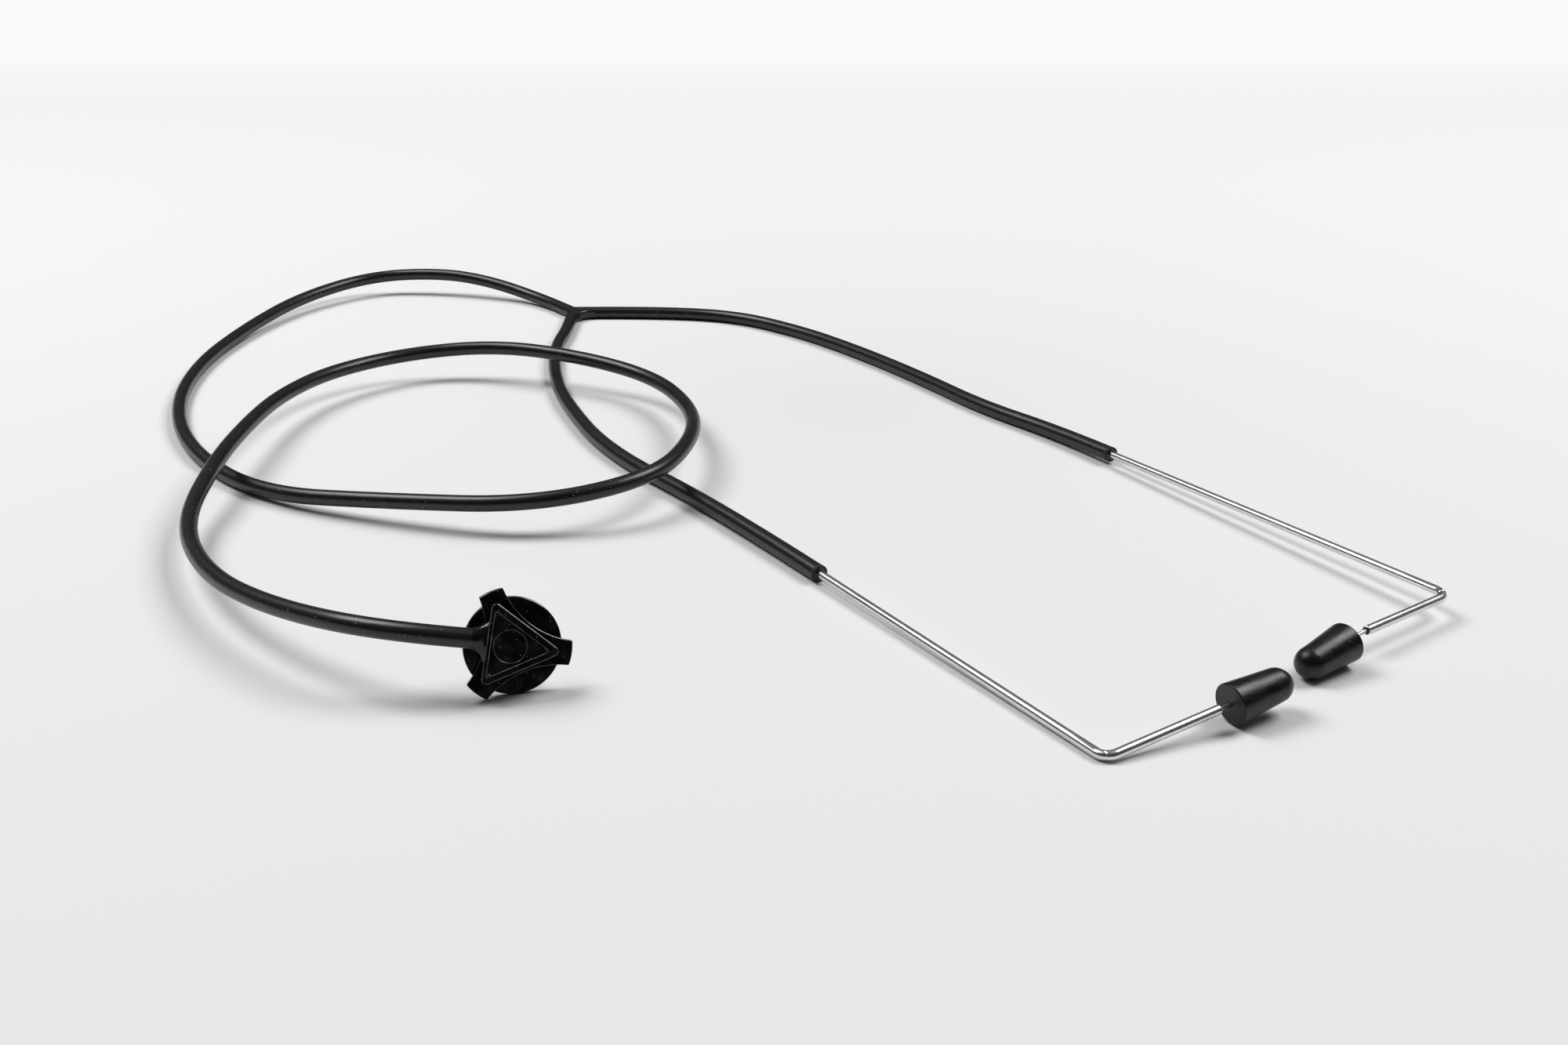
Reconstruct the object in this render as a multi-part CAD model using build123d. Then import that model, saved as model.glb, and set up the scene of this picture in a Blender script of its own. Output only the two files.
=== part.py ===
from build123d import *
import math
import os

# A light stethoscope: a thin chest piece on a long rubber hose, which forks into
# two hoses with bent metal ear tubes and foam ear plugs. It lies on the floor
# plane z = 0. +X runs from the chest piece to the ear plugs, +Z is up.
# All sizes are in millimetres and all angles in degrees.

# Hose and metal tubing
HOSE_OD = 6.35
TUBE_OD = 3.175
TUBE_WALL = 0.41
PUSH_FIT = 0.03

# Chest piece: disc, film and lug plate
DISC_DIA = 30.0
DISC_THICK = 2.0
DISC_EDGE = 0.3
CHAMBER_DIA = 24.0
CHAMBER_DEEP = 0.7
FILM_DIA = 28.0
FILM_THICK = 0.25
RING_THICK = 0.45
RING_WIDE = 1.6
FILM_PLAY = 0.05
PLATE_THICK = 2.0
LUG_RADIUS = 18.05
WAIST_RADIUS = 8.6
WAIST_CURVE = 26.9
LUG_CORNER = 0.4
PLATE_EDGE = 0.2

# Chest piece: triangular boss, lid and hose port
BOSS_X = -0.67
BOSS_Y = 0.52
BOSS_HALF = 7.74
BOSS_CORNER = 1.5
BOSS_TALL = 5.0
BOSS_EDGE = 0.25
POCKET_EDGE = 0.15
LID_X = -1.2
LID_Y = 0.4
LID_HALF = 5.9
LID_CORNER = 1.4
LID_SUNK = 0.5
LID_THICK = 0.8
LID_PLAY = 0.03
DIMPLE_DIA = 10.0
DIMPLE_DEEP = 0.3
DIMPLE_EDGE = 0.12
PORT_Y = 1.3
PORT_RISE = 1.75
PORT_SWING = 3.0
PORT_TILT = 4.0
PORT_GAP = 0.5
PORT_INSIDE = 4.8
PORT_IN_HOSE = 12.4
SOUND_HOLE = 2.0
SEAL_REACH = 3.4
SEAL_WIDE = 13.6
SEAL_OVER_HOSE = 0.25
SEAL_EDGE = 0.2
SEAL_WAIST = 0.66

# Chest piece: where it stands
CHEST_X = -141.85
CHEST_Y = -84.2
CHEST_YAW = 14.8
CHEST_LEAN = 17.8
CHEST_ROLL = -13.4

# Fork of the hose
FORK_X = -174.95
FORK_Y = 343.4
FORK_ARM = 12.5
FORK_BLEND = 9.0
FORK_WEB = 5.0
FORK_WEB_EDGE = 1.5
STUB_IN_FORK = 7.0
STUB_IN_HOSE = 9.0
MAIN_ARM_HEADING = 126.0
LEFT_ARM_HEADING = -88.3
RIGHT_ARM_HEADING = 1.1

# Ear tubes
CREASE_WIDE = 0.3
CREASE_DEEP = 0.12
LEG = 182.0
TUBE_LIP = 0.12

# Ear plugs, stems and bushes
PLUG_LONG = 23.0
PLUG_BASE_DIA = 13.3
PLUG_NOSE_DIA = 10.8
PLUG_BASE_EDGE = 0.5
STEM_OD = 1.3
STEM_WALL = 0.3
STEM_IN_PLUG = 15.0
STEM_LONG = 34.0
STEM_BEND_AT = 1.6
STEM_BEND_RADIUS = 8.0
BUSH_LONG = 6.0
BUSH_SET_BACK = 2.0
SLIDE_FIT = 0.02
FOAM_FIT = 0.01

# Each ear piece: hose end, lie of the tube, its bend, and how far its plug is drawn out
EARS = {
    "left": dict(end_x=-47.0, end_y=-3.87, lift=0.0, heading=-57.61, rise=-0.61, roll=6.75,
                 shown=145.9, turn=86.1, bend=4.2, arm=41.5, drawn=4.3, droop=0.0),
    "right": dict(end_x=77.2, end_y=114.9, lift=1.18, heading=-59.6, rise=1.15, roll=179.4,
                  shown=169.3, turn=83.0, bend=6.0, arm=46.3, drawn=10.4, droop=6.7),
}

# Hose routes: x, y and how high the underside is above the floor. Each hose runs
# straight for its first and last stretch, and the points between are these.
MAIN_FIRST_RUN = 29.0
MAIN_LAST_RUN = 24.0
MAIN_ROUTE = [
    (-221, -62, 14.5), (-255, -25, 9.5), (-280, 25, 7.0), (-283, 73, 13.0), (-284, 120, 13.0),
    (-283, 164, 11.0), (-271, 203, 10.0), (-241, 232, 10.0), (-200, 235, 13.0), (-159, 219, 13.0),
    (-120, 197, 9.5), (-100, 152, 9.5), (-96, 100, 14.0), (-109, 54, 14.0), (-153, 36, 10.0),
    (-209, 50, 6.0), (-268, 73, 0.0), (-312, 124, 0.0), (-338, 184, 0.0), (-348, 247, 0.0),
    (-343, 307, 1.0), (-328, 360, 4.0), (-297, 397, 7.0), (-257, 396, 9.0), (-228, 388, 6.5),
]
LEFT_FIRST_RUN = 20.0
LEFT_LAST_RUN = 74.0
LEFT_ROUTE = [(-176, 275, 0), (-171, 233, 0), (-161, 190, 0), (-134, 121, 0)]
RIGHT_FIRST_RUN = 34.0
RIGHT_LAST_RUN = 34.0
RIGHT_ROUTE = [(-85, 336, 0), (-49, 304, 0), (-20, 266, 0), (7, 224, 0), (31, 181, 0)]
ARC_SHARE = 0.45

# Worked out from the sizes above
HOSE_BORE = TUBE_OD + 2 * PUSH_FIT
TUBE_BORE = TUBE_OD - 2 * TUBE_WALL
STEM_BORE = STEM_OD - 2 * STEM_WALL
LUG_COUNT = 3
SPREAD = 360 / LUG_COUNT
PLATE_BACK = -PLATE_THICK
DISC_BACK = PLATE_BACK - DISC_THICK
REBATE_DEEP = FILM_THICK + RING_THICK / 2
RING_BACK = DISC_BACK + REBATE_DEEP - FILM_THICK - RING_THICK
HOSE_END_X = -(WAIST_RADIUS + PORT_GAP)
BOSS_SIDE_X = BOSS_X - BOSS_HALF
LID_TOP = BOSS_TALL - LID_SUNK


def heading_vector(angle):
    """Level direction at an angle from +X."""
    return Vector(math.cos(math.radians(angle)), math.sin(math.radians(angle)), 0)


def ahead_of(frame, distance):
    """Point on the +X axis of a frame."""
    return (frame * Pos(distance, 0, 0)).position


def lying_at(angle, rise=0.0):
    """Turn that points +X along a heading and raises it by an angle."""
    return Rot(0, 0, angle) * Rot(0, -rise, 0)


def pipe(outer, bore, length):
    """Open pipe along +X, starting at the origin."""
    ring = Circle(outer / 2) - Circle(bore / 2)
    return extrude(Plane.YZ * ring, amount=length)


def bent_pipe(path, outer, bore):
    """Open pipe along a path of straight runs and tangent arcs."""
    start = Plane(path @ 0, z_dir=path % 0)
    return sweep(start * (Circle(outer / 2) - Circle(bore / 2)), path=path)


def rounded_triangle(half, corner):
    """Triangle with one corner towards +X; half is from its centre to a side."""
    outline = RegularPolygon(half, 3, major_radius=False)
    return fillet(outline.vertices(), corner)


def front_rim(part):
    """Outer edges of the front face."""
    return part.faces().sort_by(Axis.Z)[-1].outer_wire().edges()


def front_hole(part):
    """Edges of the opening in the front face."""
    return part.faces().sort_by(Axis.Z)[-1].inner_wires()[0].edges()


# The chest piece has its own frame: the plate's front face is z = 0, the hose leaves
# towards -X, and +Z faces away from the patient.
def port_frame():
    """Frame at the hose end, with +X pointing out along the hose."""
    return Pos(HOSE_END_X, PORT_Y, PORT_RISE) * Rot(0, 0, 180 + PORT_SWING) * Rot(0, PORT_TILT, 0)


def sound_bore():
    """Passage from the end of the port tube down into the sound chamber."""
    inner_end = ahead_of(port_frame(), SOUND_HOLE / 2 - PORT_INSIDE)
    low = DISC_BACK
    tall = inner_end.Z - low
    return Pos(inner_end.X, inner_end.Y, low + tall / 2) * Cylinder(SOUND_HOLE / 2, tall)


def chest_disc():
    """Round body with a chamber and a stepped seat for the film at its back."""
    body = Pos(0, 0, PLATE_BACK - DISC_THICK / 2) * Cylinder(DISC_DIA / 2, DISC_THICK)
    body = chamfer(body.edges(), DISC_EDGE)
    seat = Pos(0, 0, DISC_BACK + REBATE_DEEP / 2) * Cylinder(FILM_DIA / 2 + FILM_PLAY, REBATE_DEEP)
    room_tall = REBATE_DEEP + CHAMBER_DEEP
    room = Pos(0, 0, DISC_BACK + room_tall / 2) * Cylinder(CHAMBER_DIA / 2, room_tall)
    return body - seat - room - sound_bore()


def diaphragm():
    """Thin film that closes the chamber."""
    top = DISC_BACK + REBATE_DEEP
    return Pos(0, 0, top - FILM_THICK / 2) * Cylinder(FILM_DIA / 2, FILM_THICK)


def diaphragm_ring():
    """Flat ring that holds the film in its seat, a little proud of the disc."""
    ring = Cylinder(FILM_DIA / 2, RING_THICK) - Cylinder(FILM_DIA / 2 - RING_WIDE, RING_THICK)
    ring = chamfer(ring.faces().sort_by(Axis.Z)[0].edges(), RING_THICK / 4)
    return Pos(0, 0, RING_BACK + RING_THICK / 2) * ring


def lug_plate():
    """Plate with three lugs and hollow sides between them."""
    outline = Circle(LUG_RADIUS)
    for i in range(LUG_COUNT):
        waist = Pos(WAIST_RADIUS + WAIST_CURVE, 0) * Circle(WAIST_CURVE)
        outline -= Rot(0, 0, SPREAD * (i + 0.5)) * waist
    outline = fillet(outline.vertices(), LUG_CORNER)
    plate = extrude(Pos(0, 0, PLATE_BACK) * outline, amount=PLATE_THICK)
    plate = chamfer(front_rim(plate), PLATE_EDGE)
    return plate - sound_bore()


def port_tube():
    """Short metal tube from the boss into the hose."""
    tube = pipe(TUBE_OD, TUBE_BORE, PORT_INSIDE + PORT_IN_HOSE)
    return port_frame() * Pos(-PORT_INSIDE, 0, 0) * tube


def hose_boss():
    """Triangular frame that takes the port tube and the lid."""
    boss = extrude(rounded_triangle(BOSS_HALF, BOSS_CORNER), amount=BOSS_TALL)
    boss = Pos(BOSS_X, BOSS_Y) * chamfer(front_rim(boss), BOSS_EDGE)
    pocket_floor = LID_TOP - LID_THICK
    pocket = extrude(rounded_triangle(LID_HALF, LID_CORNER), amount=BOSS_TALL - pocket_floor)
    boss -= Pos(LID_X, LID_Y, pocket_floor) * pocket
    boss = chamfer(front_hole(boss), POCKET_EDGE)
    drill = Rot(0, 90, 0) * Cylinder(TUBE_OD / 2, 2 * PORT_INSIDE)
    return boss - port_frame() * drill - sound_bore()


def boss_lid():
    """Sunk lid with a shallow round recess."""
    lid = extrude(rounded_triangle(LID_HALF - LID_PLAY, LID_CORNER), amount=LID_THICK)
    dimple = Pos(0, 0, LID_THICK - DIMPLE_DEEP / 2) * Cylinder(DIMPLE_DIA / 2, DIMPLE_DEEP)
    lid = lid - dimple
    lid = chamfer(front_hole(lid), DIMPLE_EDGE)
    return Pos(LID_X, LID_Y, LID_TOP - LID_THICK) * lid


def sealant():
    """Flared fillet of sealant between the hose and the side of the boss."""
    hose_end = ahead_of(port_frame(), 0)
    outward = ahead_of(port_frame(), 1) - hose_end
    middle_z = (BOSS_TALL + PLATE_BACK) / 2
    half_tall = middle_z - PLATE_BACK - SEAL_EDGE
    half_wide = SEAL_WIDE / 2
    foot = Plane((BOSS_SIDE_X, BOSS_Y, middle_z), x_dir=(0, 1, 0), z_dir=(-1, 0, 0))
    waist = Plane((BOSS_SIDE_X - SEAL_REACH / 2, PORT_Y, middle_z), x_dir=(0, 1, 0), z_dir=(-1, 0, 0))
    tip = Plane(hose_end + outward * SEAL_REACH, x_dir=(0, 1, 0), z_dir=outward)
    flare = loft([
        foot * Ellipse(half_wide, half_tall),
        waist * Ellipse(half_wide * SEAL_WAIST, half_tall),
        tip * Circle(HOSE_OD / 2 + SEAL_OVER_HOSE),
    ])
    way = port_frame() * Rot(0, 90, 0)
    hose_way = way * Pos(0, 0, SEAL_REACH) * Cylinder(HOSE_OD / 2, 2 * SEAL_REACH)
    tube_way = way * Cylinder(TUBE_OD / 2, 2 * PORT_INSIDE)
    return flare - hose_way - tube_way - lug_plate()


def chest_frame():
    """Where the chest piece stands: on the back rim of its disc, leaning back."""
    lean = math.radians(CHEST_LEAN)
    stand = DISC_DIA / 2 * math.cos(lean) - (DISC_BACK + DISC_EDGE) * math.sin(lean)
    at = Pos(CHEST_X, CHEST_Y, stand)
    return at * Rot(0, 0, CHEST_YAW) * Rot(90 - CHEST_LEAN, 0, 0) * Rot(0, 0, CHEST_ROLL)


# Ear pieces, in the frame of the hose end: +X runs out along the tube and the
# short arm bends towards +Y.
def ear_frame(ear):
    """Frame at the end face of an ear hose."""
    at = Pos(ear["end_x"], ear["end_y"], HOSE_OD / 2 + ear["lift"])
    return at * lying_at(ear["heading"], ear["rise"]) * Rot(ear["roll"], 0, 0)


def tip_frame(ear):
    """Frame at the open mouth of an ear tube, with +X pointing out of it."""
    return ear_frame(ear) * Pos(ear["shown"], 0, 0) * Rot(0, 0, ear["turn"]) * Pos(ear["arm"], 0, 0)


def ear_tube(ear):
    """Bent metal tube with a fine crease across its bend."""
    shown = ear["shown"]
    turn = math.radians(ear["turn"])
    mouth = (shown + ear["arm"] * math.cos(turn), ear["arm"] * math.sin(turn), 0)
    path = FilletPolyline((shown - LEG, 0, 0), (shown, 0, 0), mouth, radius=ear["bend"])
    tube = bent_pipe(path, TUBE_OD, TUBE_BORE)
    tube = chamfer(tube.edges().filter_by(GeomType.CIRCLE).sort_by(Axis.X)[0], TUBE_LIP)
    back = ear["bend"] * (1 / math.cos(turn / 2) - 1)
    apex = Vector(shown, 0, 0) + heading_vector(90 + ear["turn"] / 2) * back
    ring = Cylinder(TUBE_OD, CREASE_WIDE) - Cylinder(TUBE_OD / 2 - CREASE_DEEP, CREASE_WIDE)
    return tube - Pos(apex) * Rot(0, 0, ear["turn"] / 2) * Rot(0, 90, 0) * ring


def plug_frame(ear):
    """Frame at the flat base of an ear plug, on its drooping stem."""
    reach = ear["drawn"] - STEM_BEND_AT
    return tip_frame(ear) * Pos(STEM_BEND_AT, 0, 0) * Rot(0, -ear["droop"], 0) * Pos(reach, 0, 0)


def stem(ear):
    """Thin metal stem from inside the ear tube to inside the plug."""
    behind = STEM_LONG - STEM_IN_PLUG - ear["drawn"]
    ahead = STEM_LONG - behind - STEM_BEND_AT
    droop = math.radians(ear["droop"])
    end = (STEM_BEND_AT + ahead * math.cos(droop), 0, ahead * math.sin(droop))
    if ear["droop"]:
        path = FilletPolyline((-behind, 0, 0), (STEM_BEND_AT, 0, 0), end, radius=STEM_BEND_RADIUS)
    else:
        path = Line((-behind, 0, 0), end)
    return bent_pipe(path, STEM_OD, STEM_BORE)


def bush():
    """Bush that holds the stem in the mouth of the ear tube."""
    ring = pipe(TUBE_BORE, STEM_OD + 2 * SLIDE_FIT, BUSH_LONG)
    return Pos(-BUSH_SET_BACK - BUSH_LONG, 0, 0) * ring


def ear_plug():
    """Foam plug with a flat base and a round nose; +X runs from base to nose."""
    base = PLUG_BASE_DIA / 2
    nose = PLUG_NOSE_DIA / 2
    centre = PLUG_LONG - nose
    taper = math.acos(nose / math.hypot(base, centre)) - math.atan2(centre, base)
    shoulder = Vector(centre, 0) + heading_vector(90 - math.degrees(taper)) * nose
    cheek = Vector(centre, 0) + heading_vector(45) * nose
    side = Polyline((PLUG_LONG, 0), (0, 0), (0, base), shoulder)
    half = make_face(side + ThreePointArc(shoulder, cheek, (PLUG_LONG, 0)))
    half = fillet(half.vertices().sort_by_distance((0, base))[0], PLUG_BASE_EDGE)
    hole = extrude(Plane.YZ * Circle(STEM_OD / 2 + FOAM_FIT), amount=STEM_IN_PLUG)
    return revolve(half, axis=Axis.X) - hole


# Hoses
def arc_radii(points):
    """Largest even arcs that the runs beside each point leave room for."""
    radii = []
    for a, b, c in zip(points, points[1:], points[2:]):
        shorter = min((b - a).length, (c - b).length)
        turn = (b - a).get_angle(c - b)
        radii.append(ARC_SHARE * shorter / math.tan(math.radians(turn / 2)))
    return radii


def hose(name, points):
    """Hose along straight runs joined by tangent arcs."""
    radii = arc_radii(points)
    path = FilletPolyline(*points, radius=radii)
    tube = bent_pipe(path, HOSE_OD, HOSE_BORE)
    section = math.pi / 4 * (HOSE_OD ** 2 - HOSE_BORE ** 2)
    print(name, "length", round(path.length, 1), "smallest radius", round(min(radii), 1),
          "volume over section times length", round(tube.volume / (section * path.length), 4))
    print("  radii", [round(r) for r in radii])
    print("  points", [tuple(round(v, 2) for v in p) for p in points])
    return tube


def on_route(route):
    """Centre line points of a route."""
    return [Vector(x, y, lift + HOSE_OD / 2) for x, y, lift in route]


def fork_point(heading, distance):
    """Point on the axis of one arm of the fork."""
    return Vector(FORK_X, FORK_Y, HOSE_OD / 2) + heading_vector(heading) * distance


def main_hose():
    """Hose from the chest piece to the fork."""
    port = chest_frame() * port_frame()
    points = [ahead_of(port, 0), ahead_of(port, MAIN_FIRST_RUN)]
    points += on_route(MAIN_ROUTE)
    points += [fork_point(MAIN_ARM_HEADING, FORK_ARM + MAIN_LAST_RUN)]
    points += [fork_point(MAIN_ARM_HEADING, FORK_ARM)]
    return hose("main_hose", points)


def ear_hose(side, heading, route, first_run, last_run):
    """Hose from the fork to one ear tube."""
    end = ear_frame(EARS[side])
    points = [fork_point(heading, FORK_ARM), fork_point(heading, FORK_ARM + first_run)]
    points += on_route(route)
    points += [ahead_of(end, -last_run), ahead_of(end, 0)]
    return hose(side + "_hose", points)


def fork_web():
    """Web with a hollow edge in the crotch between the two ear hoses."""
    half_angle = (RIGHT_ARM_HEADING - LEFT_ARM_HEADING) / 2
    middle = (RIGHT_ARM_HEADING + LEFT_ARM_HEADING) / 2
    from_arm = HOSE_OD / 2 + FORK_BLEND
    hollow = heading_vector(middle) * (from_arm / math.sin(math.radians(half_angle)))
    along = from_arm / math.tan(math.radians(half_angle))
    left = heading_vector(LEFT_ARM_HEADING) * along
    right = heading_vector(RIGHT_ARM_HEADING) * along
    web = make_face(Polyline((0, 0), left, hollow, right, close=True))
    web -= Pos(hollow) * Circle(FORK_BLEND)
    web = extrude(Pos(0, 0, -FORK_WEB / 2) * web, amount=FORK_WEB)
    return fillet(web.edges().filter_by(GeomType.CIRCLE), FORK_WEB_EDGE)


def y_connector():
    """Moulded fork of the same diameter as the hose."""
    headings = (MAIN_ARM_HEADING, LEFT_ARM_HEADING, RIGHT_ARM_HEADING)
    body = Sphere(HOSE_OD / 2) + fork_web()
    for heading in headings:
        body += Rot(0, 0, heading) * extrude(Plane.YZ * Circle(HOSE_OD / 2), amount=FORK_ARM)
    for heading in headings:
        body -= Rot(0, 0, heading) * extrude(Plane.YZ * Circle(TUBE_OD / 2), amount=FORK_ARM)
    return Pos(FORK_X, FORK_Y, HOSE_OD / 2) * body


def stub(heading):
    """Short tube that joins one hose to the fork."""
    length = FORK_ARM - STUB_IN_FORK + STUB_IN_HOSE
    tube = Pos(STUB_IN_FORK, 0, 0) * pipe(TUBE_OD, TUBE_BORE, length)
    return Pos(FORK_X, FORK_Y, HOSE_OD / 2) * lying_at(heading) * tube


def build():
    """All pieces by name, in place."""
    chest = chest_frame()
    pieces = {
        "chest_disc": chest * chest_disc(),
        "diaphragm": chest * diaphragm(),
        "diaphragm_ring": chest * diaphragm_ring(),
        "lug_plate": chest * lug_plate(),
        "hose_boss": chest * hose_boss(),
        "boss_lid": chest * boss_lid(),
        "port_tube": chest * port_tube(),
        "sealant": chest * sealant(),
        "main_hose": main_hose(),
        "left_hose": ear_hose("left", LEFT_ARM_HEADING, LEFT_ROUTE, LEFT_FIRST_RUN, LEFT_LAST_RUN),
        "right_hose": ear_hose("right", RIGHT_ARM_HEADING, RIGHT_ROUTE, RIGHT_FIRST_RUN, RIGHT_LAST_RUN),
        "y_connector": y_connector(),
        "stub_main": stub(MAIN_ARM_HEADING),
        "stub_left": stub(LEFT_ARM_HEADING),
        "stub_right": stub(RIGHT_ARM_HEADING),
    }
    for side, ear in EARS.items():
        pieces[side + "_ear_tube"] = ear_frame(ear) * ear_tube(ear)
        pieces[side + "_bush"] = tip_frame(ear) * bush()
        pieces[side + "_stem"] = tip_frame(ear) * stem(ear)
        pieces[side + "_plug"] = plug_frame(ear) * ear_plug()
    return pieces


os.makedirs("parts", exist_ok=True)
for node, shape in build().items():
    export_step(shape, "parts/" + node + ".step")
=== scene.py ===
import bpy
import bmesh
import math
from mathutils import Matrix, Vector, noise


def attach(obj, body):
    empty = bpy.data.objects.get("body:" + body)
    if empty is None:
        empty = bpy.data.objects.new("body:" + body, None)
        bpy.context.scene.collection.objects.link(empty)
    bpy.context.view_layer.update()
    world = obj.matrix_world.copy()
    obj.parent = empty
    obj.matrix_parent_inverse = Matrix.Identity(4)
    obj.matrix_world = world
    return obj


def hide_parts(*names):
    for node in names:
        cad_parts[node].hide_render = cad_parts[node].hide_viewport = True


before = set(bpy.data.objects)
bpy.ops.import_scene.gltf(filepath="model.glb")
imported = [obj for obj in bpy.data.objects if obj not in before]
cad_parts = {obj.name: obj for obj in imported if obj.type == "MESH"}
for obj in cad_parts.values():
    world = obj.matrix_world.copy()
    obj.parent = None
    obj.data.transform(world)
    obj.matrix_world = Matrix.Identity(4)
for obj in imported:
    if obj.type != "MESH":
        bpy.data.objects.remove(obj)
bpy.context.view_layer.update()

# A light stethoscope on a pale table, in metres: thin black chest piece, black
# rubber hose, bent aluminium ear tubes and black foam ear plugs.
MM = 0.001
MM_PER_METRE = 1000
HOSE_OD = 6.35 * MM
HOSE_BORE = 3.235 * MM
CUT_LONG = 1.2 * MM
CUT_PROUD = 0.01 * MM
CUT_EDGE = 0.16 * MM
CUT_THROAT = 0.2 * MM
TUBE_OD = 3.175 * MM
TUBE_WALL = 0.41 * MM
TUBE_LIP = 0.12 * MM
CREASE_WIDE = 0.7 * MM
CREASE_DEEP = 0.14 * MM
LEG = 182.0 * MM
ROUND_COLUMNS = 64
STRAIGHT_STEPS = 12
BEND_STEPS = 24
ARM_STEPS = 8
STEM_BEND_AT = 1.6 * MM
PLUG_LONG = 23.0 * MM
PLUG_BASE_R = 6.65 * MM
PLUG_NOSE_R = 5.4 * MM
PLUG_EDGE = 0.5 * MM
PLUG_EDGE_STEPS = 6
PLUG_NOSE_STEPS = 40
PLUG_GRID = (220, 240)
STEM_R = 0.66 * MM
STEM_HOLE_LIP = 0.35 * MM
STEM_HOLE_DEEP = 0.4 * MM

# Slightly uneven face of a cut hose, from its edge to its bore: how far out it is, and its radius
CUT_FACE = [(0.0, 3.02 * MM), (0.02 * MM, 2.6 * MM), (-0.02 * MM, 2.1 * MM), (0.0, 1.75 * MM)]

# Skin of the foam: depth and fineness of its waves, grain and pores, and how far it is drawn in
FOAM_WAVE = 0.10 * MM
FOAM_WAVES_PER_MM = 0.16
FOAM_GRAIN = 0.016 * MM
FOAM_GRAINS_PER_MM = 2.2
FOAM_PORE = 0.10 * MM
FOAM_PORES_PER_MM = 3.4
FOAM_PORE_LEVEL = 0.35
FOAM_INSET = 0.08 * MM

# Chest piece, as in the solids; its own frame has the plate's front face at z = 0
CHEST_X = -141.85 * MM
CHEST_Y = -84.2 * MM
CHEST_YAW = 14.8
CHEST_LEAN = 17.8
CHEST_ROLL = -13.4
DISC_R = 15.0 * MM
RIM_BACK = 3.7 * MM
SIDE_ANGLES = (60, 180, 300)
CORNER_SOFT = 1.6 * MM
BOSS_X = -0.67 * MM
BOSS_Y = 0.52 * MM
BOSS_HALF = 7.74 * MM
BOSS_TALL = 5.0 * MM
LID_X = -1.2 * MM
LID_Y = 0.4 * MM
LID_HALF = 5.9 * MM
LID_TOP = 4.5 * MM
DIMPLE_R = 5.0 * MM
WAIST_RADIUS = 8.6 * MM
WAIST_CURVE = 26.9 * MM
# Width of the painted edge highlights on the chest piece, and how far they reach from their level
EDGE_LINE = 0.14 * MM
EDGE_REACH = 0.35 * MM
CHEST = "chest_and_hoses"

# Camera fitted to the photograph: its focal length and width are in pixels of the photograph
FOCAL_PIXELS = 2093
PHOTO_WIDTH = 2000
SENSOR = 36.0
CAMERA_PLACE = (-0.05965, -0.52970, 0.2406)
CAMERA_TILT = 67.5

# Table and light
TABLE_HALF = 12.0
TABLE_MIDDLE = (-0.03, 0.20, 0)
TABLE_REACH = 1.8
GLOW_FROM = 0.5
GLOW_TO = 1.5
SOFT_BOX_POWER = 31.0
SOFT_BOX_SIZE = 1.1
SOFT_BOX_SIDE = 1.25
SOFT_BOX_Y = 0.5
SOFT_BOX_Z = 1.8
LAMP_AIM = (-0.05, 0.1, 0)

# Centre line of each hose: the same route points as in the solids
MAIN_POINTS = [
    (-0.14996, -0.08700, 0.01916), (-0.17836, -0.09086, 0.02351), (-0.221, -0.062, 0.01768),
    (-0.255, -0.025, 0.01268), (-0.280, 0.025, 0.01018), (-0.283, 0.073, 0.01618),
    (-0.284, 0.120, 0.01618), (-0.283, 0.164, 0.01418), (-0.271, 0.203, 0.01318),
    (-0.241, 0.232, 0.01318), (-0.200, 0.235, 0.01618), (-0.159, 0.219, 0.01618),
    (-0.120, 0.197, 0.01268), (-0.100, 0.152, 0.01268), (-0.096, 0.100, 0.01718),
    (-0.109, 0.054, 0.01718), (-0.153, 0.036, 0.01318), (-0.209, 0.050, 0.00918),
    (-0.268, 0.073, 0.00318), (-0.312, 0.124, 0.00318), (-0.338, 0.184, 0.00318),
    (-0.348, 0.247, 0.00318), (-0.343, 0.307, 0.00418), (-0.328, 0.360, 0.00718),
    (-0.297, 0.397, 0.01018), (-0.257, 0.396, 0.01218), (-0.228, 0.388, 0.00968),
    (-0.1964, 0.37293, 0.00318), (-0.1823, 0.35351, 0.00318),
]
LEFT_POINTS = [
    (-0.17458, 0.33091, 0.00318), (-0.17399, 0.31091, 0.00318), (-0.176, 0.275, 0.00318),
    (-0.171, 0.233, 0.00318), (-0.161, 0.190, 0.00318), (-0.134, 0.121, 0.00318),
    (-0.08664, 0.05861, 0.00396), (-0.04700, -0.00387, 0.00318),
]
RIGHT_POINTS = [
    (-0.16245, 0.34364, 0.00318), (-0.12846, 0.34429, 0.00318), (-0.085, 0.336, 0.00318),
    (-0.049, 0.304, 0.00318), (-0.020, 0.266, 0.00318), (0.007, 0.224, 0.00318),
    (0.031, 0.181, 0.00318), (0.0600, 0.14422, 0.00367), (0.0772, 0.1149, 0.00435),
]

# Each ear piece as in the solids: hose end, lie of the tube in degrees, and sizes
EARS = {
    "left": dict(end=(-0.0470, -0.00387, 0.003175), heading=-57.61, rise=-0.61, roll=6.75,
                 shown=0.1459, turn=86.1, bend=0.0042, arm=0.0415, drawn=0.0043, droop=0.0),
    "right": dict(end=(0.0772, 0.1149, 0.004355), heading=-59.6, rise=1.15, roll=179.4,
                  shown=0.1693, turn=83.0, bend=0.0060, arm=0.0463, drawn=0.0104, droop=6.7),
}


def linear(hex_colour):
    """Linear colour from an sRGB hex value."""
    parts = [int(hex_colour[i:i + 2], 16) / 255 for i in (1, 3, 5)]
    return tuple(c / 12.92 if c <= 0.04045 else ((c + 0.055) / 1.055) ** 2.4 for c in parts) + (1.0,)


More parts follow.
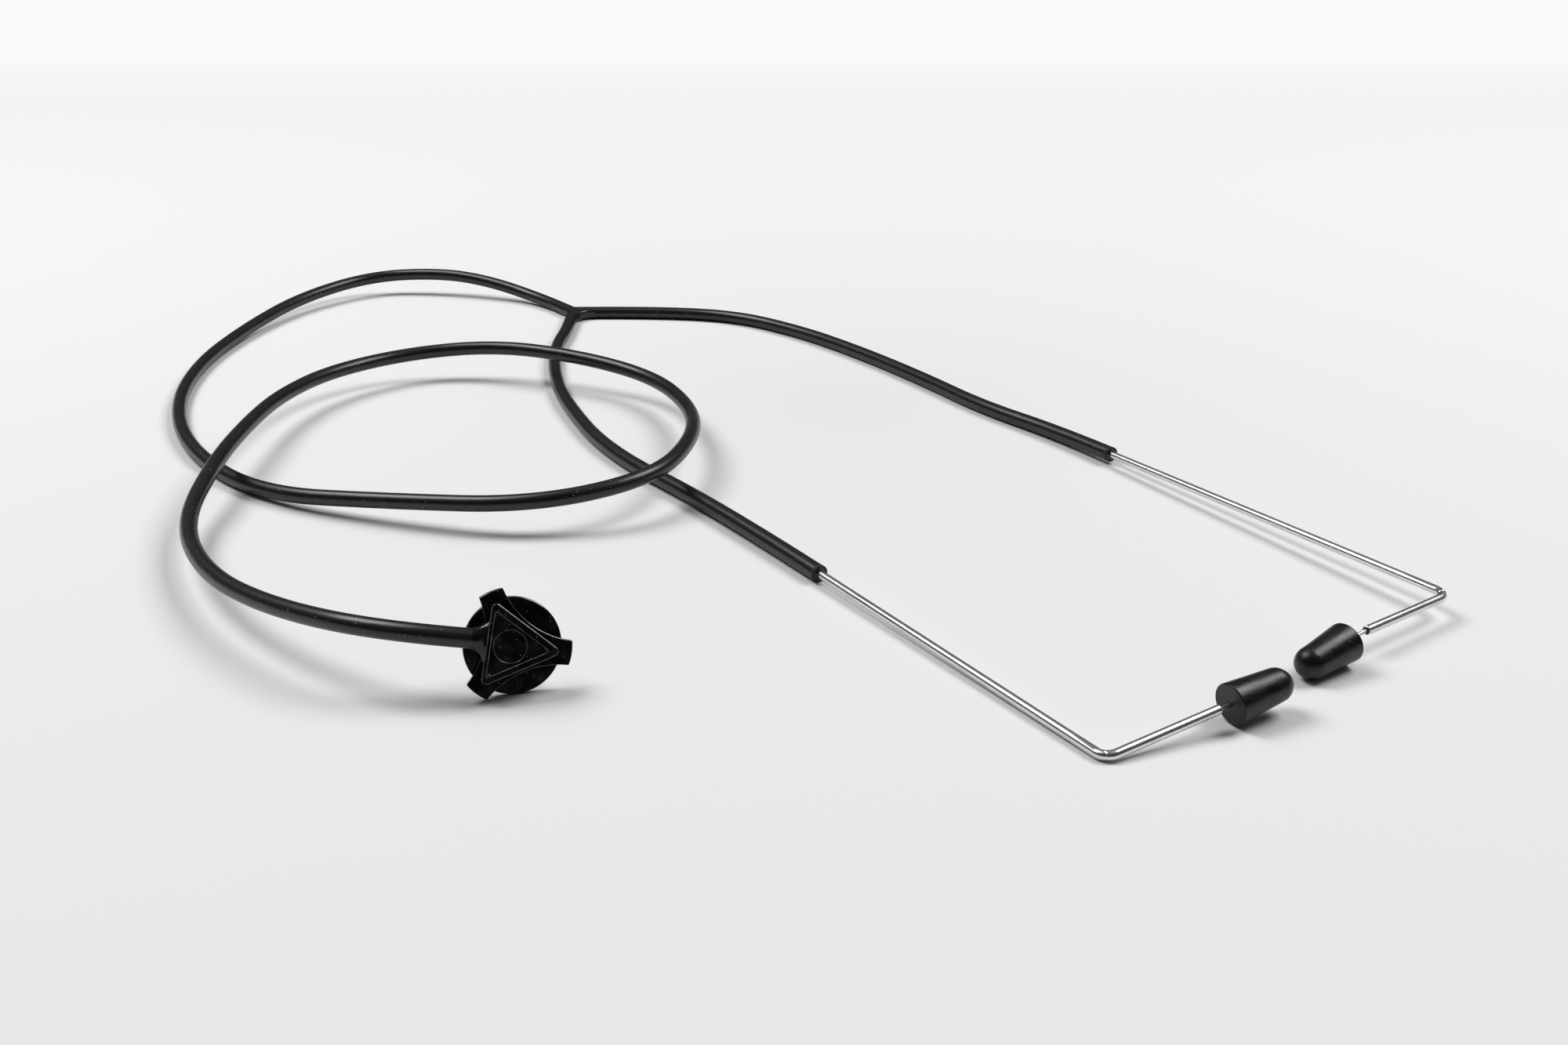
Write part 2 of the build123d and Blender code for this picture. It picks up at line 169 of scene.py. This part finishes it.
def add_node(tree, kind, links=None, **settings):
    """Adds a node, sets its properties and inputs, and links what feeds it."""
    made = tree.nodes.new(kind)
    inputs = settings.pop("inputs", {})
    for name, value in settings.items():
        setattr(made, name, value)
    for name, value in inputs.items():
        made.inputs[name].default_value = value
    for name, source in (links or {}).items():
        tree.links.new(source, made.inputs[name])
    return made


def new_material(name, hex_colour, roughness, **shader):
    """A material with one Principled shader and its output, and its tree."""
    material = bpy.data.materials.new(name)
    material.use_nodes = True
    tree = material.node_tree
    tree.nodes.clear()
    output = add_node(tree, "ShaderNodeOutputMaterial")
    body = add_node(tree, "ShaderNodeBsdfPrincipled")
    body.inputs["Base Color"].default_value = linear(hex_colour)
    body.inputs["Roughness"].default_value = roughness
    for socket, value in shader.items():
        body.inputs[socket.replace("_", " ")].default_value = value
    tree.links.new(body.outputs[0], output.inputs[0])
    return material, tree, body


def grain(tree, size, detail=2.0, kind="ShaderNodeTexNoise"):
    """A noise or cell pattern on the piece's own coordinates; size is in metres."""
    place = add_node(tree, "ShaderNodeTexCoord").outputs["Object"]
    made = add_node(tree, kind, {"Vector": place}, inputs={"Scale": 1 / size})
    if kind == "ShaderNodeTexNoise":
        made.inputs["Detail"].default_value = detail
    return made


def calculate(tree, operation, *values):
    """Result of one math operation on values, each a number or a socket."""
    made = add_node(tree, "ShaderNodeMath", operation=operation)
    for slot, value in enumerate(values):
        if isinstance(value, (int, float)):
            made.inputs[slot].default_value = value
        else:
            tree.links.new(value, made.inputs[slot])
    return made.outputs[0]


def ramp(tree, source, low, high, a=0.0, b=1.0):
    """Maps a value from low..high to a..b."""
    return add_node(tree, "ShaderNodeMapRange", {"Value": source},
                    inputs={"From Min": low, "From Max": high, "To Min": a, "To Max": b}).outputs[0]


def mix_colour(tree, factor, a, b):
    """Mixes two colours, each a hex value or a socket."""
    made = add_node(tree, "ShaderNodeMix", {"Factor": factor}, data_type="RGBA")
    for slot, colour in ((6, a), (7, b)):
        if isinstance(colour, str):
            made.inputs[slot].default_value = linear(colour)
        else:
            tree.links.new(colour, made.inputs[slot])
    return made.outputs[2]


def add_dust_and_sparkle(tree, body, base, pitch, least, colour="#B9B9B5"):
    """Fine pale specks: here and there a cell of the pattern holds one speck. They are dust, and on the
    foam partly a painted sparkle.
    """
    cells = grain(tree, pitch, kind="ShaderNodeTexVoronoi")
    near = ramp(tree, cells.outputs["Distance"], 0.16, 0.07)
    chosen = add_node(tree, "ShaderNodeSeparateColor", {"Color": cells.outputs["Color"]}).outputs[0]
    rare = ramp(tree, chosen, least, least + 0.01)
    speck = calculate(tree, "MULTIPLY", near, rare)
    tree.links.new(mix_colour(tree, speck, base, colour), body.inputs["Base Color"])


def add_bump(tree, body, height, depth, strength):
    """Bump from a height pattern; depth is in metres."""
    bump = add_node(tree, "ShaderNodeBump", {"Height": height},
                    inputs={"Strength": strength, "Distance": depth})
    tree.links.new(bump.outputs[0], body.inputs["Normal"])


# Extruded black rubber: the die leaves a satin skin, with a faint bloom and dust
def hose_rubber():
    material, tree, body = new_material("extruded_black_rubber", "#101011", 0.36, IOR=1.5)
    bloom = grain(tree, 7 * MM, 3.0).outputs["Fac"]
    base = mix_colour(tree, ramp(tree, bloom, 0.35, 0.7), "#0D0D0E", "#171718")
    add_dust_and_sparkle(tree, body, base, 1.2 * MM, 0.84)
    skin = grain(tree, 0.35 * MM, 3.0).outputs["Fac"]
    tree.links.new(ramp(tree, skin, 0.3, 0.7, 0.26, 0.38), body.inputs["Roughness"])
    add_bump(tree, body, skin, 0.03 * MM, 0.6)
    return material


# Thin stainless steel tube: dull from drawing, so that its shine spreads
def stem_steel():
    material, tree, body = new_material("drawn_stainless_steel", "#C9CACC", 0.36, Metallic=1.0)
    marks = grain(tree, 2 * MM, 3.0).outputs["Fac"]
    tree.links.new(ramp(tree, marks, 0.35, 0.7, 0.32, 0.42), body.inputs["Roughness"])
    return material


# Cut rubber: the blade leaves a dull, slightly torn face
def cut_rubber():
    material, tree, body = new_material("cut_black_rubber", "#0C0C0D", 0.7, IOR=1.5)
    torn = grain(tree, 0.3 * MM, 3.0).outputs["Fac"]
    base = mix_colour(tree, ramp(tree, torn, 0.4, 0.7), "#0B0B0C", "#1C1C1D")
    tree.links.new(base, body.inputs["Base Color"])
    add_bump(tree, body, torn, 0.05 * MM, 0.8)
    return material


# Drawn aluminium tube: bright and smooth, with faint handling marks
def tube_aluminium():
    material, tree, body = new_material("drawn_aluminium", "#E3E4E6", 0.24, Metallic=1.0)
    marks = grain(tree, 9 * MM, 4.0).outputs["Fac"]
    tree.links.new(ramp(tree, marks, 0.35, 0.7, 0.20, 0.30), body.inputs["Roughness"])
    base = mix_colour(tree, ramp(tree, marks, 0.45, 0.75), "#E3E4E6", "#CFD0D2")
    tree.links.new(base, body.inputs["Base Color"])
    fine = grain(tree, 0.9 * MM, 2.0).outputs["Fac"]
    add_bump(tree, body, fine, 0.01 * MM, 0.4)
    return material


def turned(axis, degrees):
    """Turn about one axis."""
    return Matrix.Rotation(math.radians(degrees), 4, axis)


def chest_frame():
    """Where the chest piece stands, leaning back on the rim of its disc."""
    lean = math.radians(CHEST_LEAN)
    stand = DISC_R * math.cos(lean) + RIM_BACK * math.sin(lean)
    lie = turned("Z", CHEST_YAW) @ turned("X", 90 - CHEST_LEAN) @ turned("Z", CHEST_ROLL)
    return Matrix.Translation((CHEST_X, CHEST_Y, stand)) @ lie


def triangle_reach(tree, place, centre):
    """How far out a point is from a rounded triangle's centre, across its nearest side."""
    from_centre = add_node(tree, "ShaderNodeVectorMath", {0: place}, inputs={1: centre},
                           operation="SUBTRACT").outputs[0]
    reach = None
    for angle in SIDE_ANGLES:
        normal = (math.cos(math.radians(angle)), math.sin(math.radians(angle)), 0)
        side = add_node(tree, "ShaderNodeVectorMath", {0: from_centre}, inputs={1: normal},
                        operation="DOT_PRODUCT").outputs["Value"]
        if reach is None:
            reach = side
        else:
            reach = calculate(tree, "SMOOTH_MAX", reach, side, CORNER_SOFT)
    return reach


def band(tree, value, middle, half):
    """1 where a value is near a middle, 0 outside."""
    off = calculate(tree, "ABSOLUTE", calculate(tree, "SUBTRACT", value, middle))
    return ramp(tree, off, half, half * 0.5)


def painted_edge_highlights(tree):
    """Painted highlights: pale lines along the sheet's cut edges where they catch light, with some dust
    caught on them.
    """
    place = add_node(tree, "ShaderNodeTexCoord").outputs["Object"]
    lie = chest_frame()
    own = add_node(tree, "ShaderNodeMapping", {"Vector": place}, vector_type="TEXTURE",
                   inputs={"Location": lie.translation, "Rotation": lie.to_euler()}).outputs[0]
    height = add_node(tree, "ShaderNodeSeparateXYZ", {"Vector": own}).outputs["Z"]
    boss = triangle_reach(tree, own, (BOSS_X, BOSS_Y, 0))
    pocket = triangle_reach(tree, own, (LID_X, LID_Y, 0))
    from_lid = add_node(tree, "ShaderNodeVectorMath", {0: own}, inputs={1: (LID_X, LID_Y, LID_TOP)},
                        operation="DISTANCE").outputs["Value"]
    lines = [(band(tree, boss, BOSS_HALF - EDGE_LINE, EDGE_LINE), BOSS_TALL),
             (band(tree, pocket, LID_HALF + EDGE_LINE / 2, EDGE_LINE), BOSS_TALL),
             (band(tree, from_lid, DIMPLE_R, EDGE_LINE), LID_TOP)]
    far = WAIST_RADIUS + WAIST_CURVE
    for angle in SIDE_ANGLES:
        centre = (far * math.cos(math.radians(angle)), far * math.sin(math.radians(angle)), 0)
        away = add_node(tree, "ShaderNodeVectorMath", {0: own}, inputs={1: centre},
                        operation="DISTANCE").outputs["Value"]
        lines.append((band(tree, away, WAIST_CURVE, EDGE_LINE), 0.0))
    total = None
    for line, level in lines:
        near = band(tree, height, level, EDGE_REACH)
        shown = calculate(tree, "MULTIPLY", line, near)
        if total is None:
            total = shown
        else:
            total = calculate(tree, "MAXIMUM", total, shown)
    patchy = ramp(tree, grain(tree, 2.5 * MM, 3.0).outputs["Fac"], 0.35, 0.65, 0.25, 1.0)
    return calculate(tree, "MULTIPLY", total, patchy)


# Cut acrylic sheet: deep black gloss, with pale painted highlights along its cut edges
def chest_acrylic():
    material, tree, body = new_material("cut_black_acrylic", "#050506", 0.22, IOR=1.49)
    wear = grain(tree, 4 * MM, 4.0).outputs["Fac"]
    tree.links.new(ramp(tree, wear, 0.3, 0.75, 0.14, 0.32), body.inputs["Roughness"])
    base = mix_colour(tree, ramp(tree, wear, 0.5, 0.8), "#050506", "#090909")
    # Painted highlights: pale lines mixed into the colour along the cut edges
    edge_highlighted = mix_colour(tree, painted_edge_highlights(tree), base, "#747472")
    add_dust_and_sparkle(tree, body, edge_highlighted, 1.0 * MM, 0.82, "#B4B4B0")
    fine = grain(tree, 0.2 * MM, 2.0).outputs["Fac"]
    add_bump(tree, body, fine, 0.006 * MM, 0.5)
    return material


# Polyester film: smooth, dark and glossy
def film():
    material, tree, body = new_material("dark_polyester_film", "#1A1A1C", 0.15, IOR=1.6)
    ripple = grain(tree, 6 * MM, 2.0).outputs["Fac"]
    add_bump(tree, body, ripple, 0.05 * MM, 0.4)
    tree.links.new(ramp(tree, ripple, 0.3, 0.7, 0.1, 0.24), body.inputs["Roughness"])
    return material


# Cured silicone sealant: wet-looking and lumpy, with fine pale specks
def silicone():
    material, tree, body = new_material("black_silicone_sealant", "#0B0B0C", 0.12, IOR=1.41)
    lumps = grain(tree, 1.6 * MM, 3.0).outputs["Fac"]
    tree.links.new(ramp(tree, lumps, 0.35, 0.7, 0.08, 0.22), body.inputs["Roughness"])
    base = mix_colour(tree, ramp(tree, lumps, 0.5, 0.75), "#0B0B0C", "#161617")
    add_dust_and_sparkle(tree, body, base, 0.9 * MM, 0.85, "#A5A5A2")
    add_bump(tree, body, lumps, 0.12 * MM, 0.8)
    return material


# Soft polyurethane foam: a moulded skin over fine open cells, dull with a sparkle; its pale specks are
# partly dust, partly a painted sparkle
def plug_foam():
    material, tree, body = new_material("black_polyurethane_foam", "#0C0C0D", 0.4, IOR=1.42)
    cells = grain(tree, 0.34 * MM, kind="ShaderNodeTexVoronoi")
    patches = grain(tree, 5 * MM, 3.0).outputs["Fac"]
    base = mix_colour(tree, ramp(tree, patches, 0.35, 0.7), "#0A0A0B", "#121213")
    # Pale specks: partly dust, partly painted sparkle highlights
    add_dust_and_sparkle(tree, body, base, 0.8 * MM, 0.8, "#8A8A8C")
    tree.links.new(ramp(tree, patches, 0.35, 0.7, 0.27, 0.38), body.inputs["Roughness"])
    add_bump(tree, body, cells.outputs["Distance"], 0.05 * MM, 0.6)
    return material


def finish_piece(name, mesh, body, material):
    """A finished, smooth piece at the origin, riding on a body, with its material."""
    piece = bpy.data.objects.new(name, mesh)
    bpy.context.scene.collection.objects.link(piece)
    mesh.materials.clear()
    mesh.materials.append(material)
    for face in mesh.polygons:
        face.use_smooth = True
    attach(piece, body)
    return piece


def make_hose(name, points, material):
    """A hose along one smooth spline through its route."""
    curve = bpy.data.curves.new(name, "CURVE")
    curve.dimensions = "3D"
    curve.resolution_u = 14
    curve.bevel_depth = HOSE_OD / 2
    curve.bevel_resolution = 8
    curve.use_fill_caps = True
    spline = curve.splines.new("NURBS")
    spline.points.add(len(points) - 1)
    for point, place in zip(spline.points, points):
        point.co = (*place, 1.0)
    spline.order_u = 3
    spline.use_endpoint_u = True
    spline.use_smooth = True
    curve.materials.append(material)
    piece = bpy.data.objects.new(name + "_skin", curve)
    bpy.context.scene.collection.objects.link(piece)
    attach(piece, CHEST)
    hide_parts(name)
    return piece


def sharpen(piece, degrees):
    """Keeps edges crisp where the surface turns sharply."""
    piece.data.set_sharp_from_angle(angle=math.radians(degrees))


def ear_frame(ear):
    """Frame at the end of an ear hose; +X runs out along the tube."""
    lie = turned("Z", ear["heading"]) @ turned("Y", -ear["rise"]) @ turned("X", ear["roll"])
    return Matrix.Translation(ear["end"]) @ lie


def tip_frame(ear):
    """Frame at the mouth of an ear tube."""
    bend = Matrix.Translation((ear["shown"], 0, 0)) @ turned("Z", ear["turn"])
    return ear_frame(ear) @ bend @ Matrix.Translation((ear["arm"], 0, 0))


def plug_frame(ear):
    """Frame at the base of an ear plug; +X runs to its nose."""
    stem_bend = Matrix.Translation((STEM_BEND_AT, 0, 0)) @ turned("Y", -ear["droop"])
    return tip_frame(ear) @ stem_bend @ Matrix.Translation((ear["drawn"] - STEM_BEND_AT, 0, 0))


def add_ring(mesh, place, centre, across, up, columns=ROUND_COLUMNS):
    """Ring of points that reaches from a centre by two vectors, set down in a frame."""
    ring = []
    for j in range(columns):
        around = 2 * math.pi * j / columns
        at = centre + across * math.cos(around) + up * math.sin(around)
        ring.append(mesh.verts.new(place @ at))
    return ring


def skin_between(mesh, rings, closed=False):
    """Faces from ring to ring, all with as many points."""
    pairs = list(zip(rings, rings[1:]))
    if closed:
        pairs.append((rings[-1], rings[0]))
    for a, b in pairs:
        for j in range(len(a)):
            k = (j + 1) % len(a)
            mesh.faces.new((a[j], a[k], b[k], b[j]))


def mesh_data(mesh, name):
    """Turns a finished mesh under construction into mesh data with its faces outwards."""
    bmesh.ops.recalc_face_normals(mesh, faces=mesh.faces)
    data = bpy.data.meshes.new(name)
    mesh.to_mesh(data)
    mesh.free()
    return data


def tube_path(ear):
    """Centre, heading in radians and groove depth along an ear tube in its own frame, and its mouth."""
    turn = math.radians(ear["turn"])
    reach = ear["bend"] * math.tan(turn / 2)
    start = ear["shown"] - reach
    path = [(Vector((ear["shown"] - LEG, 0, 0)), 0.0, 0.0)]
    for i in range(STRAIGHT_STEPS + 1):
        path.append((Vector((start * i / STRAIGHT_STEPS, 0, 0)), 0.0, 0.0))
    half_crease = CREASE_WIDE / ear["bend"] / 2
    marks = [turn * i / BEND_STEPS for i in range(BEND_STEPS + 1)
             if abs(i / BEND_STEPS - 0.5) * turn > half_crease]
    marks += [turn / 2 + half_crease * share for share in (-1.0, -0.5, 0.0, 0.5, 1.0)]
    for angle in sorted(marks):
        centre = Vector((start + ear["bend"] * math.sin(angle), ear["bend"] * (1 - math.cos(angle)), 0))
        near = max(0.0, 1 - abs(angle - turn / 2) / half_crease)
        path.append((centre, angle, CREASE_DEEP * near))
    corner = Vector((ear["shown"], 0, 0))
    along = Vector((math.cos(turn), math.sin(turn), 0))
    for i in range(1, ARM_STEPS):
        path.append((corner + along * (reach + (ear["arm"] - reach) * i / ARM_STEPS), turn, 0.0))
    path.append((corner + along * (ear["arm"] - TUBE_LIP), turn, 0.0))
    return path, corner + along * ear["arm"], turn


def make_ear_tube(side, material):
    """A thin drawn tube with a tight creased bend and an open, slightly rounded mouth."""
    ear = EARS[side]
    path, mouth, turn = tube_path(ear)
    rows = [(centre, angle, TUBE_OD / 2 - groove) for centre, angle, groove in path]
    rows += [(mouth, turn, TUBE_OD / 2 - TUBE_LIP), (mouth, turn, TUBE_OD / 2 - TUBE_WALL)]
    rows += [(centre, angle, TUBE_OD / 2 - TUBE_WALL - groove) for centre, angle, groove in reversed(path)]
    place = ear_frame(ear)
    mesh = bmesh.new()
    rings = []
    for centre, angle, radius in rows:
        across = Vector((-math.sin(angle), math.cos(angle), 0)) * radius
        rings.append(add_ring(mesh, place, centre, across, Vector((0, 0, radius))))
    skin_between(mesh, rings, closed=True)
    data = mesh_data(mesh, side + "_tube_metal")
    piece = finish_piece(side + "_tube_metal", data, side + "_ear_piece", material)
    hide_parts(side + "_ear_tube")
    sharpen(piece, 40)


def make_hose_end(side, material):
    """The cut end of an ear hose: a flat ring round the tube, with its edge just broken."""
    outer = HOSE_OD / 2 + CUT_PROUD
    bore = HOSE_BORE / 2
    outline = [(-CUT_LONG, outer), (-CUT_EDGE, outer), *CUT_FACE, (-CUT_THROAT, bore), (-CUT_LONG, bore)]
    place = ear_frame(EARS[side])
    mesh = bmesh.new()
    rings = []
    for along, radius in outline:
        centre = Vector((along, 0, 0))
        across = Vector((0, radius, 0))
        rings.append(add_ring(mesh, place, centre, across, Vector((0, 0, radius))))
    skin_between(mesh, rings, closed=True)
    data = mesh_data(mesh, side + "_hose_cut_end")
    piece = finish_piece(side + "_hose_cut_end", data, CHEST, material)
    sharpen(piece, 30)
    return piece


def plug_outline(steps):
    """Distance from the base and radius, at even steps along the skin from the stem's hole to the nose."""
    centre = PLUG_LONG - PLUG_NOSE_R
    taper = math.acos(PLUG_NOSE_R / math.hypot(PLUG_BASE_R, centre)) - math.atan2(centre, PLUG_BASE_R)
    path = [Vector((STEM_HOLE_DEEP, STEM_R)), Vector((0, STEM_R + STEM_HOLE_LIP)),
            Vector((0, PLUG_BASE_R - PLUG_EDGE))]
    for i in range(1, PLUG_EDGE_STEPS + 1):
        angle = math.pi / 2 * i / PLUG_EDGE_STEPS
        radius = PLUG_BASE_R - PLUG_EDGE * (1 - math.sin(angle))
        path.append(Vector((PLUG_EDGE * (1 - math.cos(angle)), radius)))
    for i in range(PLUG_NOSE_STEPS + 1):
        angle = (math.pi / 2 - taper) * (1 - i / PLUG_NOSE_STEPS)
        path.append(Vector((centre + PLUG_NOSE_R * math.cos(angle), PLUG_NOSE_R * math.sin(angle))))
    lengths = [0.0]
    for a, b in zip(path, path[1:]):
        lengths.append(lengths[-1] + (b - a).length)
    places = []
    j = 0
    for i in range(steps):
        want = lengths[-1] * i / steps
        while lengths[j + 1] < want:
            j += 1
        share = (want - lengths[j]) / (lengths[j + 1] - lengths[j])
        places.append(path[j].lerp(path[j + 1], share))
    return places


def foam_shift(at, seed):
    """How far the foam's skin stands out, in metres, at a place given in mm."""
    wave = noise.noise(at * FOAM_WAVES_PER_MM + Vector((seed, 0, 0))) * FOAM_WAVE
    cell = noise.noise(at * FOAM_GRAINS_PER_MM + Vector((0, seed, 0))) * FOAM_GRAIN
    hole = noise.noise(at * FOAM_PORES_PER_MM + Vector((0, 0, seed))) + FOAM_PORE_LEVEL
    return wave + cell + min(0.0, hole) * FOAM_PORE - FOAM_INSET


def make_plug(side, material, seed):
    """A foam plug turned from its outline, with the small dents of open foam."""
    place = plug_frame(EARS[side])
    rows, columns = PLUG_GRID
    mesh = bmesh.new()
    rings = []
    for spot in plug_outline(rows):
        centre = Vector((spot.x, 0, 0))
        across = Vector((0, spot.y, 0))
        up = Vector((0, 0, spot.y))
        rings.append(add_ring(mesh, Matrix.Identity(4), centre, across, up, columns))
    skin_between(mesh, rings)
    tip = mesh.verts.new((PLUG_LONG, 0, 0))
    foot = mesh.verts.new((STEM_HOLE_DEEP, 0, 0))
    for j in range(columns):
        k = (j + 1) % columns
        mesh.faces.new((rings[-1][j], rings[-1][k], tip))
        mesh.faces.new((rings[0][k], rings[0][j], foot))
    bmesh.ops.recalc_face_normals(mesh, faces=mesh.faces)
    mesh.normal_update()
    shifts = [vert.normal * foam_shift(vert.co * MM_PER_METRE, seed) for vert in mesh.verts]
    for vert, shift in zip(mesh.verts, shifts):
        vert.co = place @ (vert.co + shift)
    data = mesh_data(mesh, side + "_foam_plug")
    piece = finish_piece(side + "_foam_plug", data, side + "_tip", material)
    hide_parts(side + "_plug")


def dress(nodes, material):
    """Gives CAD nodes a material."""
    for name in nodes:
        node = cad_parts[name]
        node.data.materials.clear()
        node.data.materials.append(material)


def make_camera():
    """The photograph's camera: 37.7 mm lens, 22.5 degrees down."""
    data = bpy.data.cameras.new("camera")
    data.sensor_width = SENSOR
    data.lens = SENSOR * FOCAL_PIXELS / PHOTO_WIDTH
    data.clip_start = 0.02
    data.clip_end = 60.0
    camera = bpy.data.objects.new("camera", data)
    camera.location = CAMERA_PLACE
    camera.rotation_euler = (math.radians(CAMERA_TILT), 0, 0)
    bpy.context.scene.collection.objects.link(camera)
    bpy.context.scene.camera = camera


def make_floor():
    """Pale matt table, painted darker near its middle and lighter away from it, as painted shading. Its
    far end is lit only to the eye and in mirrors.
    """
    material, tree, body = new_material("matt_paper", "#E6E6E7", 0.9)
    body.inputs["Specular IOR Level"].default_value = 0.1
    place = add_node(tree, "ShaderNodeTexCoord").outputs["Object"]
    from_middle = add_node(tree, "ShaderNodeVectorMath", {0: place}, inputs={1: TABLE_MIDDLE},
                           operation="SUBTRACT").outputs[0]
    reach = add_node(tree, "ShaderNodeVectorMath", {0: from_middle}, operation="LENGTH").outputs["Value"]
    away = calculate(tree, "POWER", ramp(tree, reach, 0.0, TABLE_REACH), 0.5)
    # Painted shading: the table's colour runs from darker at its middle to lighter away from it
    tree.links.new(mix_colour(tree, away, "#DCDCDD", "#F4F4F4"), body.inputs["Base Color"])
    along = add_node(tree, "ShaderNodeSeparateXYZ", {"Vector": place}).outputs["Y"]
    rays = add_node(tree, "ShaderNodeLightPath")
    seen = rays.outputs["Is Camera Ray"]
    for ray in ("Is Glossy Ray", "Is Transmission Ray"):
        seen = calculate(tree, "MAXIMUM", seen, rays.outputs[ray])
    share = calculate(tree, "MULTIPLY", ramp(tree, along, GLOW_FROM, GLOW_TO), seen)
    glow = add_node(tree, "ShaderNodeEmission", inputs={"Color": linear("#F9F9F9"), "Strength": 1.0})
    mixed = add_node(tree, "ShaderNodeMixShader", {0: share, 1: body.outputs[0], 2: glow.outputs[0]})
    output = next(node for node in tree.nodes if node.type == "OUTPUT_MATERIAL")
    tree.links.new(mixed.outputs[0], output.inputs[0])
    mesh = bpy.data.meshes.new("table")
    corners = [(-TABLE_HALF, -TABLE_HALF, 0), (TABLE_HALF, -TABLE_HALF, 0),
               (TABLE_HALF, TABLE_HALF, 0), (-TABLE_HALF, TABLE_HALF, 0)]
    mesh.from_pydata(corners, [], [(0, 1, 2, 3)])
    mesh.materials.append(material)
    floor = bpy.data.objects.new("table", mesh)
    bpy.context.scene.collection.objects.link(floor)


def make_soft_box(name, x):
    """A soft square lamp at the given x that faces the middle of the object."""
    data = bpy.data.lights.new(name, "AREA")
    data.shape = "RECTANGLE"
    data.size = SOFT_BOX_SIZE
    data.size_y = SOFT_BOX_SIZE
    data.energy = SOFT_BOX_POWER
    lamp = bpy.data.objects.new(name, data)
    lamp.location = (x, SOFT_BOX_Y, SOFT_BOX_Z)
    aim = Vector(LAMP_AIM) - lamp.location
    lamp.rotation_euler = aim.to_track_quat("-Z", "Y").to_euler()
    bpy.context.scene.collection.objects.link(lamp)


def make_light():
    """Two soft boxes, left and right, in a dim room that is darker behind the camera."""
    make_soft_box("left_soft_box", -SOFT_BOX_SIDE)
    make_soft_box("right_soft_box", SOFT_BOX_SIDE)
    world = bpy.data.worlds.new("dim_room")
    world.use_nodes = True
    tree = world.node_tree
    tree.nodes.clear()
    output = add_node(tree, "ShaderNodeOutputWorld")
    way = add_node(tree, "ShaderNodeTexCoord").outputs["Generated"]
    parts = add_node(tree, "ShaderNodeSeparateXYZ", {"Vector": way})
    overhead = ramp(tree, parts.outputs["Z"], 0.1, 1.0, 0.03, 0.28)
    behind = ramp(tree, parts.outputs["Y"], -0.7, 0.3, 0.25, 1.0)
    glow = calculate(tree, "MULTIPLY", overhead, behind)
    room = add_node(tree, "ShaderNodeBackground", {"Strength": glow}, inputs={"Color": linear("#FFFFFF")})
    tree.links.new(room.outputs[0], output.inputs[0])
    bpy.context.scene.world = world
    bpy.context.scene.view_settings.view_transform = "Standard"


make_camera()
rubber = hose_rubber()
main = make_hose("main_hose", MAIN_POINTS, rubber)
left = make_hose("left_hose", LEFT_POINTS, rubber)
right = make_hose("right_hose", RIGHT_POINTS, rubber)
cut = cut_rubber()
ends = {side: make_hose_end(side, cut) for side in EARS}

make_floor()
make_light()
dress(("chest_disc", "diaphragm_ring", "lug_plate", "hose_boss", "boss_lid"), chest_acrylic())
dress(("diaphragm",), film())
dress(("sealant", "left_bush", "right_bush"), silicone())
dress(("y_connector",), rubber)
bright = tube_aluminium()
dress(("port_tube", "stub_main", "stub_left", "stub_right"), bright)
dress(("left_stem", "right_stem"), stem_steel())
for side in EARS:
    make_ear_tube(side, bright)
foam = plug_foam()
make_plug("left", foam, 3.0)
make_plug("right", foam, 11.0)
